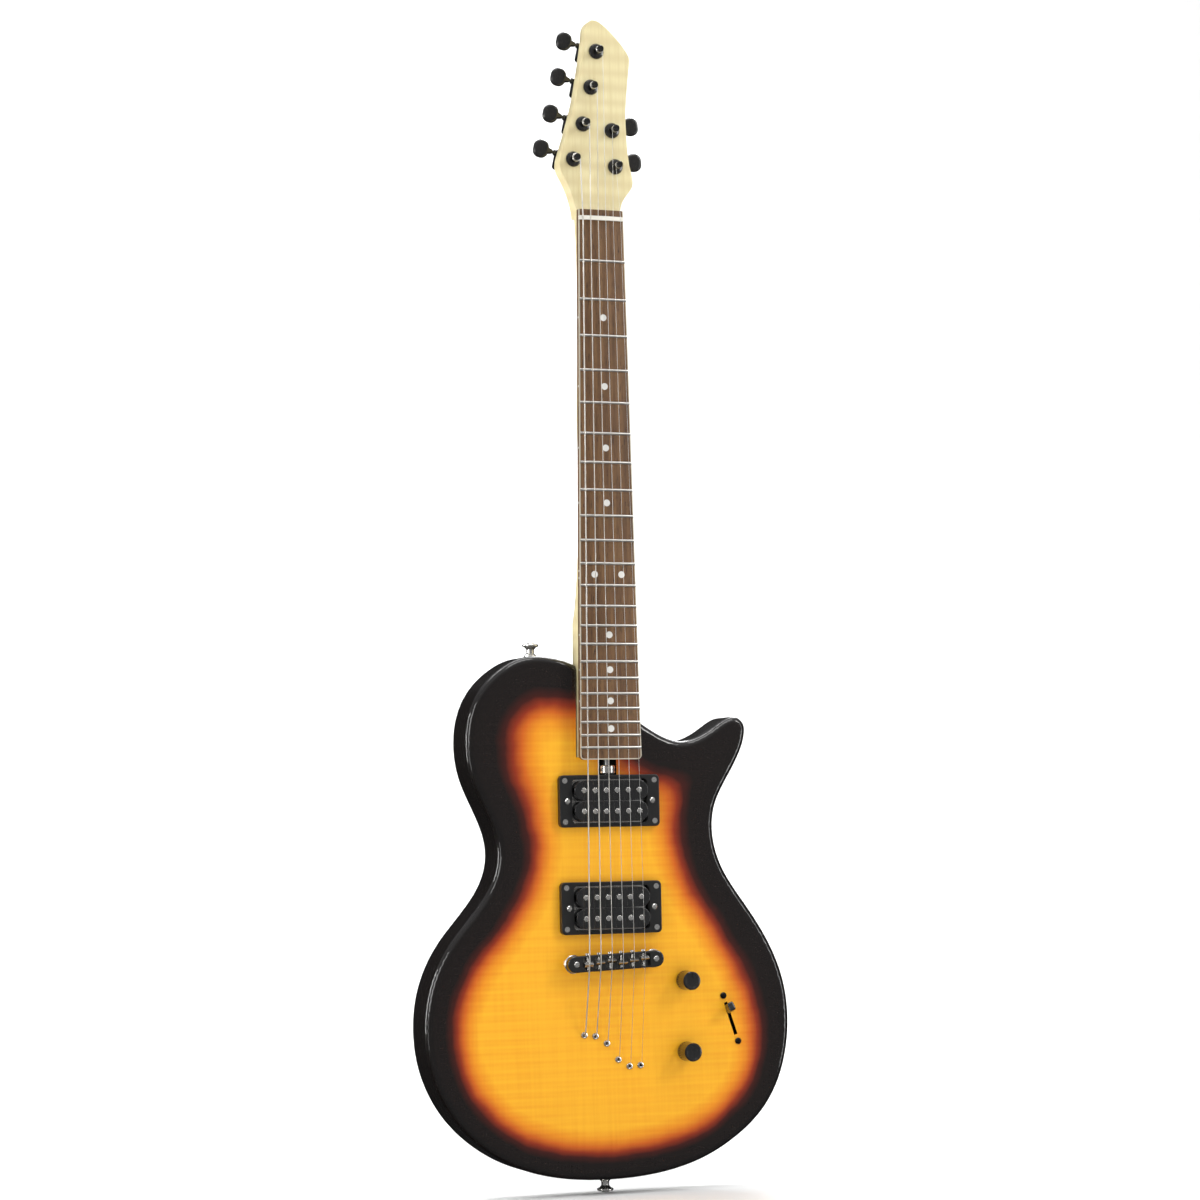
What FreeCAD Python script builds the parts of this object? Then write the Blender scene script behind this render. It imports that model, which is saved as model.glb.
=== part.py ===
import FreeCAD, Part
import math
import os
from FreeCAD import Vector as V

# Solid-body electric guitar, held upright: +Z runs up the neck, the front faces -Y, +X is the treble side.
# The origin is the scale datum: centre line, fingerboard face, front edge of the nut. Millimetres.
doc = FreeCAD.newDocument("guitar")
sheet = doc.addObject("Spreadsheet::Sheet", "dims")
D = {}
ROWS = [
    ("scale_length", 648.0, "nut to bridge, open string"),
    ("fret_total", 22.0, "frets on the board"),
    ("nut_half", 21.0, "half width of the board at the nut"),
    ("board_taper", 0.01574, "half width gained per mm towards the body"),
    ("board_thick", 6.5, "fingerboard thickness"),
    ("board_end", 476.5, "nut to the body end of the board"),
    ("board_tail", 9.5, "board left behind the nut line"),
    ("board_camber", 350.0, "radius of the cambered face"),
    ("body_front", 12.0, "board face to body top"),
    ("body_depth", 45.0, "body thickness"),
    ("edge_round", 6.0, "rounding of the body's front and back edges"),
    ("heel_back", 28.0, "board face to the back of the heel"),
    ("heel_end", 474.0, "nut to the end of the heel"),
    ("head_face", 9.0, "board face to headstock face"),
    ("head_thick", 14.0, "headstock thickness"),
    ("post_radius", 3.0, "string post"),
    ("knob_radius", 8.6, "control knob"),
    ("knob_height", 18.0, "control knob"),
    ("stud_half", 37.0, "half the bridge post spacing"),
    ("bridge_z", 652.2, "nut to bridge centre"),
    ("bridge_slant", 2.3, "degrees the bridge leans for intonation"),
    ("neck_pickup", 512.5, "nut to neck pickup centre"),
    ("bridge_pickup", 605.6, "nut to bridge pickup centre"),
    ("ring_length", 93.0, "pickup ring"),
    ("ring_width", 45.5, "pickup ring"),
    ("ring_height", 5.8, "pickup ring"),
    ("pole_pitch", 10.3, "pole piece spacing"),
    ("row_pitch", 18.3, "spacing of the two pole rows"),
    ("wheel_radius", 7.0, "truss-rod wheel"),
    ("knob_shaft", 3.0, "shaft of a control knob"),
    ("pole_radius", 2.38, "pole piece"),
    ("pole_hole", 2.4, "hole for a pole piece in its bobbin"),
    ("stud_hole", 2.56, "bridge hole round a post"),
    ("strap_seat", 6.2, "seat of a strap button"),
    ("post_hole", 3.06, "housing hole round a string post"),
    ("spring_radius", 2.43, "outside radius of a height spring"),
]
for n, (alias, value, note) in enumerate(ROWS, 1):
    sheet.set("A%d" % n, note)
    sheet.set("B%d" % n, repr(value))
    sheet.setAlias("B%d" % n, alias)
    D[alias] = value
doc.recompute()

FRONT = D["body_front"]
BACK = FRONT + D["body_depth"]
HEADF = D["head_face"]
HEADB = HEADF + D["head_thick"]
NODES = {}
count = [0]


def bind(obj, **props):
    for prop, expr in props.items():
        obj.setExpression(prop, expr)
    return obj


def fresh(kind, label="f"):
    count[0] += 1
    return doc.addObject(kind, "%s_%d" % (label, count[0]))


def place(obj, base=(0, 0, 0), axis=(0, 1, 0), angle=0.0):
    obj.Placement = FreeCAD.Placement(V(*base), FreeCAD.Rotation(V(*axis), angle))
    return obj


def box(x0, x1, y0, y1, z0, z1):
    b = fresh("Part::Box", "box")
    b.Length, b.Width, b.Height = x1 - x0, y1 - y0, z1 - z0
    return place(b, (x0, y0, z0))


def aim(direction):
    return FreeCAD.Rotation(V(0, 0, 1), V(*direction))


def cyl(r, p, q):
    c = fresh("Part::Cylinder", "cyl")
    d = V(*q) - V(*p)
    c.Radius, c.Height = r, d.Length
    c.Placement = FreeCAD.Placement(V(*p), aim((d.x, d.y, d.z)))
    return c


def cone(r1, r2, p, q):
    c = fresh("Part::Cone", "cone")
    d = V(*q) - V(*p)
    c.Radius1, c.Radius2, c.Height = r1, r2, d.Length
    c.Placement = FreeCAD.Placement(V(*p), aim((d.x, d.y, d.z)))
    return c


def cut(base, *tools):
    c = fresh("Part::Cut", "cut")
    c.Base = base
    c.Tool = tools[0] if len(tools) == 1 else group(tools)
    return c


def group(items):
    g = fresh("Part::Compound", "group")
    g.Links = list(items)
    return g


def fuse(*items):
    f = fresh("Part::MultiFuse", "fuse")
    f.Shapes = list(items)
    f.Refine = True
    return f


def common(a, b):
    c = fresh("Part::Common", "common")
    c.Base, c.Tool = a, b
    return c


def fillet(base, radius, pick):
    doc.recompute()
    f = fresh("Part::Fillet", "fillet")
    f.Base = base
    f.Edges = [(i, radius, radius) for i, e in enumerate(base.Shape.Edges, 1) if pick(e)]
    return f


def node(name, obj):
    obj.Label = name
    NODES[name] = obj
    return obj


# outline pieces, all drawn in a plane seen from the front (first value to the right, second up)
def lines(points, closed=True):
    ring = points + [points[0]] if closed else points
    return [Part.LineSegment(V(a[0], a[1], 0), V(b[0], b[1], 0)) for a, b in zip(ring, ring[1:])]


def spline(points):
    s = Part.BSplineCurve()
    s.interpolate([V(x, y, 0) for x, y in points])
    return s


def arc3(a, b, c):
    return Part.Arc(V(a[0], a[1], 0), V(b[0], b[1], 0), V(c[0], c[1], 0))


def rounded(cx, cy, w, h, r):
    x0, x1, y0, y1 = cx - w / 2, cx + w / 2, cy - h / 2, cy + h / 2
    k = r * (1 - math.sqrt(0.5))
    segs = []
    for a, b in (((x0 + r, y0), (x1 - r, y0)), ((x1, y0 + r), (x1, y1 - r)),
                 ((x1 - r, y1), (x0 + r, y1)), ((x0, y1 - r), (x0, y0 + r))):
        if (a[0] - b[0]) ** 2 + (a[1] - b[1]) ** 2 > 1e-6:
            segs += lines([a, b], closed=False)
    segs += [arc3((x1 - r, y0), (x1 - k, y0 + k), (x1, y0 + r)), arc3((x1, y1 - r), (x1 - k, y1 - k),
                                                                      (x1 - r, y1)),
             arc3((x0 + r, y1), (x0 + k, y1 - k), (x0, y1 - r)), arc3((x0, y0 + r), (x0 + k, y0 + k),
                                                                      (x0 + r, y0))]
    return segs


def slab(segs, y0, y1):
    """A flat piece: an outline in the X-Z plane, from depth y0 back to depth y1."""
    sk = fresh("Sketcher::SketchObject", "outline")
    sk.Placement = FreeCAD.Placement(V(0, y0, 0), FreeCAD.Rotation(V(1, 0, 0), 90))
    for s in segs:
        sk.addGeometry(s, False)
    e = fresh("Part::Extrusion", "slab")
    e.Base = sk
    e.DirMode = "Custom"
    e.Dir = V(0, 1, 0)
    e.LengthFwd = y1 - y0
    e.Solid = True
    return e


def origin_plane(body, role):
    return [f for f in body.Origin.OriginFeatures if f.Role == role][0]


def turned(name, profile):
    """A turned piece as a PartDesign body: (radius, height) profile revolved about the body's own Z axis."""
    body = doc.addObject("PartDesign::Body", name)
    sk = body.newObject("Sketcher::SketchObject", name + "_profile")
    sk.AttachmentSupport = [(origin_plane(body, "XZ_Plane"), "")]
    sk.MapMode = "FlatFace"
    for s in lines(profile):
        sk.addGeometry(s, False)
    rev = body.newObject("PartDesign::Revolution", name + "_turn")
    rev.Profile = sk
    rev.ReferenceAxis = (sk, ["V_Axis"])
    rev.Angle = 360.0
    body.Tip = rev
    return body


def stand(obj, x, y, z, direction=(0, -1, 0)):
    obj.Placement = FreeCAD.Placement(V(x, y, z), aim(direction))
    return obj


def half(z):
    return D["nut_half"] + D["board_taper"] * (-z)


def fret_z(n):
    return -D["scale_length"] * (1 - 2 ** (-n / 12.0))


STRINGS = [  # number, radius, side, post x, post z, saddle offset, ferrule z
    (6, 0.584, -1, -22.3, 55.5, -0.8, -715.5),
    (5, 0.457, -1, -12.7, 87.7, 0.3, -716.7),
    (4, 0.330, -1, -4.7, 121.3, 1.3, -723.3),
    (3, 0.216, -1, 1.2, 154.1, -1.0, -737.7),
    (2, 0.165, 1, 14.7, 83.3, 0.2, -743.8),
    (1, 0.127, 1, 17.3, 50.8, 1.2, -743.3),
]
NUT_X = {6: -17.7, 5: -10.62, 4: -3.54, 3: 3.54, 2: 10.62, 1: 17.7}
BRIDGE_X = {6: -25.85, 5: -15.51, 4: -5.17, 3: 5.17, 2: 15.51, 1: 25.85}


def nut_y(n):
    return -1.7 + NUT_X[n] ** 2 / (2 * D["board_camber"])


def saddle_y(n):
    return -6.2 + BRIDGE_X[n] ** 2 / (2 * D["board_camber"])


NUT_LEN = 3.6
SLANT = math.radians(D["bridge_slant"])
BRIDGE_PLACE = FreeCAD.Placement(V(0, 0, -D["bridge_z"]), FreeCAD.Rotation(V(0, 1, 0), -D["bridge_slant"]))


def bridge_local_x(n):
    return BRIDGE_X[n] / math.cos(SLANT)


def saddle_z(n, offset):
    return -D["bridge_z"] + BRIDGE_X[n] * math.tan(SLANT) + offset


# ---------------------------------------------------------------- body
RIM = [
    # upper bass shoulder and bout
    (-20.0, -397.2), (-30.4, -391.8), (-43.0, -387.6), (-60.6, -385.2), (-78.0, -387.2), (-94.0, -395.0),
    (-108.5, -407.0), (-119.5, -422.0), (-126.5, -441.0), (-128.6, -460.0), (-124.5, -490.0),
    # bass waist and lower bout
    (-115.0, -513.0), (-105.0, -536.0), (-101.0, -555.5), (-105.8, -580.0), (-124.5, -608.0),
    (-144.0, -631.5), (-158.0, -655.0), (-166.5, -681.0), (-169.0, -708.0), (-166.0, -736.0),
    (-157.5, -761.0), (-143.0, -785.0), (-121.0, -807.0), (-92.0, -825.0), (-55.0, -836.6), (0.0, -841.2),
    # treble lower bout and waist
    (52.0, -836.4), (87.0, -826.0), (114.0, -811.5), (138.0, -792.0), (154.5, -769.0), (165.0, -740.0),
    (168.7, -708.0), (165.0, -675.0), (151.0, -639.0), (127.5, -602.5), (108.5, -573.0), (100.4, -546.0),
    (102.5, -518.0), (114.5, -494.0), (126.5, -473.0),
    # horn and cutaway
    (132.4, -456.0), (131.4, -444.6), (124.0, -439.4), (112.0, -442.6), (101.4, -449.6), (90.0, -456.0),
    (78.7, -459.8), (67.5, -460.4), (56.4, -457.4), (45.4, -451.7), (34.5, -444.8), (20.0, -436.5)]
outline = [spline(RIM)] + lines([RIM[-1], RIM[0]], closed=False)
blank = slab(outline, FRONT, BACK)
bind(blank, LengthFwd="dims.body_depth")


def on_rim(e):
    b = e.BoundBox
    flat = b.YLength < 1e-6 and (abs(b.YMin - FRONT) < 1e-6 or abs(b.YMin - BACK) < 1e-6)
    inner = abs(b.XMax - 20.0) < 0.01 and abs(b.XMin + 20.0) < 0.01
    return flat and not inner


blank = fillet(blank, D["edge_round"], on_rim)
tools = []
# neck pocket, open towards the neck
pocket_y = D["heel_back"] + 0.25
z_open, z_end = -380.0, -(D["heel_end"] + 0.05)
FIT = 0.3
tools.append(slab(lines([(-half(z_open) - FIT, z_open), (half(z_open) + FIT, z_open),
                         (half(z_end) + FIT, z_end), (-half(z_end) - FIT, z_end)]), FRONT - 2, pocket_y))
# clearance slot for the truss-rod wheel
tools.append(slab(rounded(0, -484.0, 17.0, 22.0, 2.0), FRONT - 2, 21.0))
# pickup cavities with leg recesses
for zc in (-D["neck_pickup"], -D["bridge_pickup"]):
    tools.append(slab(rounded(0, zc, 72.0, 41.0, 4.0), FRONT - 2, 30.0))
    tools.append(slab(rounded(0, zc, 87.0, 15.0, 3.0), FRONT - 2, 36.0))
# wire way from the pickups to the controls
tools.append(cyl(4.0, (20, 27, -D["neck_pickup"]), (34, 25, -D["bridge_pickup"])))
tools.append(cyl(4.0, (30, 25, -D["bridge_pickup"] - 8), (66, 38, -664)))
# bridge post inserts
STUDS = [BRIDGE_PLACE.multVec(V(s * D["stud_half"], 0, 0)) for s in (-1, 1)]
for s in STUDS:
    tools.append(cyl(5.5, (s.x, FRONT - 1, s.z), (s.x, FRONT + 22, s.z)))
# string holes with a ferrule seat at each face
for n, r, side, px, pz, off, fz in STRINGS:
    x = BRIDGE_X[n]
    tools.append(cyl(1.7, (x, FRONT - 1, fz), (x, BACK + 1, fz)))
    tools.append(cyl(2.2, (x, FRONT - 1, fz), (x, FRONT + 7, fz)))
    tools.append(cyl(3.0, (x, BACK - 10, fz), (x, BACK + 1, fz)))
    tools.append(cyl(3.9, (x, BACK - 1.0, fz), (x, BACK + 1, fz)))
# controls: rear cavity, cover recess, shaft holes, switch slot
KNOBS = [(68.7, -671.0), (68.7, -733.0)]
SW_A, SW_B = (105.3, -685.8), (118.5, -726.1)
CAV = [(52, -752), (106, -768), (134, -757), (139, -712), (128, -676), (98, -650), (52, -655)]


def grown(points, grow):
    cx = sum(p[0] for p in points) / len(points)
    cz = sum(p[1] for p in points) / len(points)
    out = []
    for x, z in points:
        d = math.hypot(x - cx, z - cz)
        out.append((x + (x - cx) / d * grow, z + (z - cz) / d * grow))
    return out


def smooth_loop(points, grow):
    s = Part.BSplineCurve()
    s.interpolate([V(x, z, 0) for x, z in grown(points, grow)], PeriodicFlag=True)
    return [s]


COVER_IN = 2.5
tools.append(slab(smooth_loop(CAV, 0.0), FRONT + 6.0, BACK + 1))
tools.append(slab(smooth_loop(CAV, 7.05), BACK - COVER_IN, BACK + 1))
for kx, kz in KNOBS:
    tools.append(cyl(4.0, (kx, FRONT - 1, kz), (kx, FRONT + 7, kz)))
su = V(SW_B[0] - SW_A[0], 0, SW_B[1] - SW_A[1]).normalize()
sw_mid = V((SW_A[0] + SW_B[0]) / 2, 0, (SW_A[1] + SW_B[1]) / 2)
SW_ANGLE = math.degrees(math.atan2(su.x, su.z))
slot = box(-1.6, 1.6, FRONT - 1, FRONT + 7, -15.0, 15.0)
slot.Placement = FreeCAD.Placement(V(sw_mid.x, 0, sw_mid.z), FreeCAD.Rotation(V(0, 1, 0),
                                                                              SW_ANGLE)).multiply(
    slot.Placement)
tools.append(slot)
for sx, sz in (SW_A, SW_B):
    tools.append(cyl(1.55, (sx, FRONT - 1, sz), (sx, FRONT + 7, sz)))
# output jack, bored square to the lower treble edge
JACK = V(150.5, 35.5, -776.5)
JDIR = V(0.83, 0, -0.557).normalize()
jin = JACK - JDIR * 34
jout = JACK + JDIR * 12
tools.append(cyl(6.0, (jin.x, jin.y, jin.z), (jout.x, jout.y, jout.z)))
# wood screws: pickup rings and control cover
RING_SCREWS = [(sx * (D["ring_length"] / 2 - 4.8), zc + sz * (D["ring_width"] / 2 - 4.8))
               for zc in (-D["neck_pickup"], -D["bridge_pickup"]) for sx in (-1, 1) for sz in (-1, 1)]
RING_TOP = FRONT - D["ring_height"]
for x, z in RING_SCREWS:
    tools.append(cyl(1.3, (x, FRONT - 1, z), (x, RING_TOP + 15.1, z)))
COVER_SCREWS = [grown(CAV, 3.6)[k] for k in (0, 1, 3, 5, 6)]
for x, z in COVER_SCREWS:
    tools.append(cyl(1.3, (x, BACK + 1, z), (x, BACK - 15.1, z)))
# strap buttons: one on the upper shoulder, one at the tail
STRAPS = [(V(-61.0, 37.0, -385.2), V(0.02, 0, 1)), (V(0, 37.0, -841.2), V(0, 0, -1))]
for p, d in STRAPS:
    d.normalize()
    a, b = p + d * 2, p - d * 26
    tools.append(cyl(1.8, (a.x, a.y, a.z), (b.x, b.y, b.z)))
# neck screws in recessed ferrules
NECK_SCREWS = [(-18.0, -412.0), (18.0, -449.0), (-18.0, -463.0), (18.0, -466.0)]
for x, z in NECK_SCREWS:
    tools.append(cyl(2.4, (x, pocket_y - 1, z), (x, BACK + 1, z)))
    tools.append(cyl(7.0, (x, BACK - 3.0, z), (x, BACK + 1, z)))
node("body", cut(blank, *tools))


# ---------------------------------------------------------------- neck
def section(z, width_half, y_back, power, front=None):
    """A neck section at height z: flat under the board, a superellipse behind."""
    y0 = D["board_thick"] if front is None else front
    pts = []
    for k in range(13):
        t = math.pi * k / 12
        c, s = math.cos(t), math.sin(t)
        x = width_half * (1 if c >= 0 else -1) * abs(c) ** (2.0 / power)
        pts.append(V(x, y0 + (y_back - y0) * abs(s) ** (2.0 / power), z))
    curve = Part.BSplineCurve()
    curve.interpolate(pts)
    f = fresh("Part::Feature", "section")
    f.Shape = Part.Wire([Part.LineSegment(pts[-1], pts[0]).toShape(), curve.toShape()])
    return f


def loft(sections, ruled=False):
    lf = fresh("Part::Loft", "loft")
    lf.Sections = sections
    lf.Solid = True
    lf.Ruled = ruled
    return lf


SHAFT = [(9.5, half(9.5), 22.6, 5.0), (-8.0, half(-8), 21.6, 3.0), (-30.0, half(-30), 20.4, 2.2),
         (-180.0, half(-180), 21.4, 2.1), (-310.0, half(-310), 22.6, 2.2), (-336.0, half(-336), 25.6, 3.4),
         (-356.0, half(-356), D["heel_back"], 7.0)]
shaft = loft([section(*s) for s in SHAFT])
heel = loft([section(-356.0, half(-356), D["heel_back"], 7.0),
             section(-D["heel_end"], half(-D["heel_end"]), D["heel_back"], 7.0)], ruled=True)
HEAD = [(-20.3, 4.0), (-21.3, 12.0), (-25.0, 25.0), (-30.6, 37.5), (-35.0, 47.0), (-35.4, 53.0), (-33.4,
                                                                                                  61.0),
        (-26.8, 82.0), (-20.0, 106.0), (-12.4, 146.0), (-9.0, 170.0), (-7.4, 178.0), (-2.0, 182.8), (4.5,
                                                                                                     181.4),
        (13.0, 175.3), (22.0, 166.4), (30.2, 156.2), (33.0, 150.6), (32.9, 144.0), (30.0, 118.0), (28.5,
                                                                                                   97.0),
        (29.2, 75.0), (32.0, 50.0), (34.1, 40.5), (33.8, 34.4), (30.2, 28.2), (25.3, 21.6), (22.0, 12.0),
        (21.0, 4.0)]
head_outline = [spline(HEAD)] + lines([HEAD[-1], HEAD[0]], closed=False)
head = slab(head_outline, HEADF, HEADB)
bind(head, LengthFwd="dims.head_thick")
head = fillet(head, 1.2, lambda e: e.BoundBox.YLength < 1e-6 and e.Length > 60)
# scoop from the end of the board down to the headstock face
ramp = fresh("Part::Feature", "ramp")
rp = [V(-20.7, D["board_thick"], 8.0), V(-20.7, D["board_thick"], 9.6), V(-20.7, HEADF, 17.0)]
ra = Part.Arc(rp[1], V(-20.7, HEADF - 0.75, 12.6), rp[2]).toShape()
rw = Part.Wire([Part.LineSegment(rp[0], rp[1]).toShape(), ra,
                Part.LineSegment(rp[2], V(-20.7, HEADF + 2, 17.0)).toShape(),
                Part.LineSegment(V(-20.7, HEADF + 2, 17.0), V(-20.7, HEADF + 2, 8.0)).toShape(),
                Part.LineSegment(V(-20.7, HEADF + 2, 8.0), rp[0]).toShape()])
ramp.Shape = Part.Face(rw).extrude(V(41.4, 0, 0))
neck_tools = []
for n, r, side, px, pz, off, fz in STRINGS:
    neck_tools.append(cyl(4.9, (px, HEADF - 1, pz), (px, HEADB + 1, pz)))
# truss-rod channel, open towards the board and the body
neck_tools.append(box(-3.1, 3.1, D["board_thick"] - 1, 16.1, -(D["heel_end"] + 1), 3.0))
for x, z in NECK_SCREWS:
    neck_tools.append(cyl(2.3, (x, 14.0, z), (x, D["heel_back"] + 1, z)))
TUNERS = []
for n, r, side, px, pz, off, fz in STRINGS:
    angle = 192.4 if side < 0 else -4.6
    place_t = FreeCAD.Placement(V(px, 0, pz), FreeCAD.Rotation(V(0, 1, 0), angle))
    worm_z = -7.0 if side < 0 else 7.0
    TUNERS.append((n, r, side, place_t, worm_z))
    p = place_t.multVec(V(-9.6, 0, -worm_z * 0.4))
    neck_tools.append(cyl(1.1, (p.x, HEADB + 1, p.z), (p.x, HEADB - 8.1, p.z)))
node("neck", cut(fuse(shaft, heel, head, ramp), *neck_tools))


# ---------------------------------------------------------------- fingerboard, dots, frets, nut
def board_section(z, drop=0.0):
    h, r = half(z) - drop, D["board_camber"]
    sag = h * h / (2 * r)
    f = fresh("Part::Feature", "section")
    a, b = V(-h, sag, z), V(h, sag, z)
    c, d = V(h, D["board_thick"], z), V(-h, D["board_thick"], z)
    f.Shape = Part.Wire([Part.Arc(a, V(0, 0, z), b).toShape(), Part.LineSegment(b, c).toShape(),
                         Part.LineSegment(c, d).toShape(), Part.LineSegment(d, a).toShape()])
    return f


board = loft([board_section(D["board_tail"]), board_section(-D["board_end"])], ruled=True)
board = fillet(board, 4.0,
               lambda e: abs(e.BoundBox.ZMin + D["board_end"]) < 1e-4 and e.BoundBox.ZLength < 1e-4
               and e.BoundBox.XLength < 1e-4)
CAMBER_AXIS = V(0, D["board_camber"], 0)
front_dots = []
for n in (3, 5, 7, 9, 12, 15, 17, 19, 21):
    z = (fret_z(n) + fret_z(n - 1)) / 2
    for x in ((-12.5, 12.5) if n == 12 else (0.0,)):
        front_dots.append((x, z))
dot_cyls = [cyl(3.0, (x, -1, z), (x, 1.6, z)) for x, z in front_dots]
side_z = [(fret_z(n) + fret_z(n - 1)) / 2 + dz for n in (3, 5, 7, 9, 12, 15, 17, 19, 21)
          for dz in ((-3.2, 3.2) if n == 12 else (0.0,))]
side_cyls = [cyl(1.0, (-half(z) - 1.0, 3.6, z), (-half(z) + 2.0, 3.6, z)) for z in side_z]
NUT_DEEP = 2.4
nut_seat = box(-25, 25, -1, NUT_DEEP, 0.0, NUT_LEN)
slots = []
for n in range(1, int(D["fret_total"]) + 1):
    z = fret_z(n)
    h = half(z) - 0.9
    slots.append(box(-h, h, -1, 2.9, z - 0.29, z + 0.29))
dots = common(group(dot_cyls + side_cyls), board)
node("position_dots", dots)
node("fingerboard", cut(board, *(dot_cyls + side_cyls + [nut_seat] + slots)))


def fret_solid(n):
    """One fret: a rounded crown revolved about the camber's axis, with its tang in the slot."""
    z, r = fret_z(n), D["board_camber"]
    crown = Part.Wire([Part.Arc(V(0, 0, z - 1.25), V(0, -1.1, z), V(0, 0, z + 1.25)).toShape(),
                       Part.LineSegment(V(0, 0, z + 1.25), V(0, 0, z - 1.25)).toShape()])
    ang = math.degrees(math.asin((half(z) - 0.45) / r))
    face = Part.Face(crown)
    face.rotate(CAMBER_AXIS, V(0, 0, 1), -ang)
    bead = face.revolve(CAMBER_AXIS, V(0, 0, 1), 2 * ang)
    bead.translate(V(0, -0.01, 0))
    h = half(z) - 1.0
    tang = Part.makeBox(2 * h, 2.6 + h * h / (2 * r), 0.54, V(-h, 0.1, z - 0.27))
    tang = tang.common(Part.makeBox(2 * h, 2.75, 0.54, V(-h, 0.1, z - 0.27)))
    trim = Part.makeCylinder(r - 0.0, 4, V(0, r, z - 2), V(0, 0, 1))
    return bead.fuse(tang.common(trim)).removeSplitter()


frets = doc.addObject("Part::Feature", "frets")
frets.Shape = Part.makeCompound([fret_solid(n) for n in range(1, int(D["fret_total"]) + 1)])
frets.Placement = FreeCAD.Placement()
node("frets", frets)

nut_blank = fresh("Part::Feature", "nut_blank")
nh = half(0) - 0.15
sg = nh * nh / (2 * D["board_camber"])
nut_blank.Shape = Part.Face(Part.Wire([
    Part.Arc(V(-nh, -1.6 + sg, 0), V(0, -2.3, 0), V(nh, -1.6 + sg, 0)).toShape(),
    Part.LineSegment(V(nh, -1.6 + sg, 0), V(nh, NUT_DEEP, 0)).toShape(),
    Part.LineSegment(V(nh, NUT_DEEP, 0), V(-nh, NUT_DEEP, 0)).toShape(),
    Part.LineSegment(V(-nh, NUT_DEEP, 0), V(-nh, -1.6 + sg, 0)).toShape()])).extrude(V(0, 0, NUT_LEN))
nut_tools = [cyl(r + 0.14, (NUT_X[n] * 1.004, nut_y(n) - 0.1, -3), (NUT_X[n] * 0.999, nut_y(n) - 0.06, 7))
             for n, r, side, px, pz, off, fz in STRINGS]
node("nut", cut(nut_blank, *nut_tools))

# ---------------------------------------------------------------- truss rod and wheel
node("truss_rod", fuse(box(-3.0, 3.0, D["board_thick"] + 0.3, 15.9, -(D["heel_end"] - 6), 2.5),
                       cyl(2.6, (0, 12.6, -(D["heel_end"] - 7)), (0, 12.6, -488.0))))
wheel_blank = turned("wheel_blank", [(2.66, 0), (6.4, 0), (D["wheel_radius"], 0.8), (D["wheel_radius"],
                                                                                     6.7),
                                     (6.4, 7.5), (2.66, 7.5)])
stand(wheel_blank, 0, 12.6, -481.4, (0, 0, -1))
wheel_tools = []
for k in range(6):
    a = math.radians(60 * k + 90)
    wheel_tools.append(cyl(1.5, (4.0 * math.cos(a), 12.6 - 4.0 * math.sin(a), -485.15),
                           (8.0 * math.cos(a), 12.6 - 8.0 * math.sin(a), -485.15)))
node("truss_wheel", cut(wheel_blank, *wheel_tools))

# ---------------------------------------------------------------- tuners
housings, bushings, wood_screws = [], [], []


def wood_screw(x, y, z, direction, length=13.0, core=1.3):
    """Countersunk wood screw with a cross slot, head face at the given point, pointing along direction."""
    d = V(*direction)
    head_r = 2.4
    p = V(x, y, z)

    def at(t):
        q = p + d * t
        return (q.x, q.y, q.z)
    s = fuse(cone(head_r, core - 0.02, at(0), at(1.6)), cyl(core - 0.02, at(0.5), at(length - 2)),
             cone(core - 0.02, 0.3, at(length - 2), at(length)))
    bars = []
    for w, h in ((1.5, 0.35), (0.35, 1.5)):
        b = box(-w, w, -0.1, 0.7, -h, h)
        b.Placement = FreeCAD.Placement(p, FreeCAD.Rotation(V(0, 1, 0), d)).multiply(b.Placement)
        bars.append(b)
    return cut(s, *bars)


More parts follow.
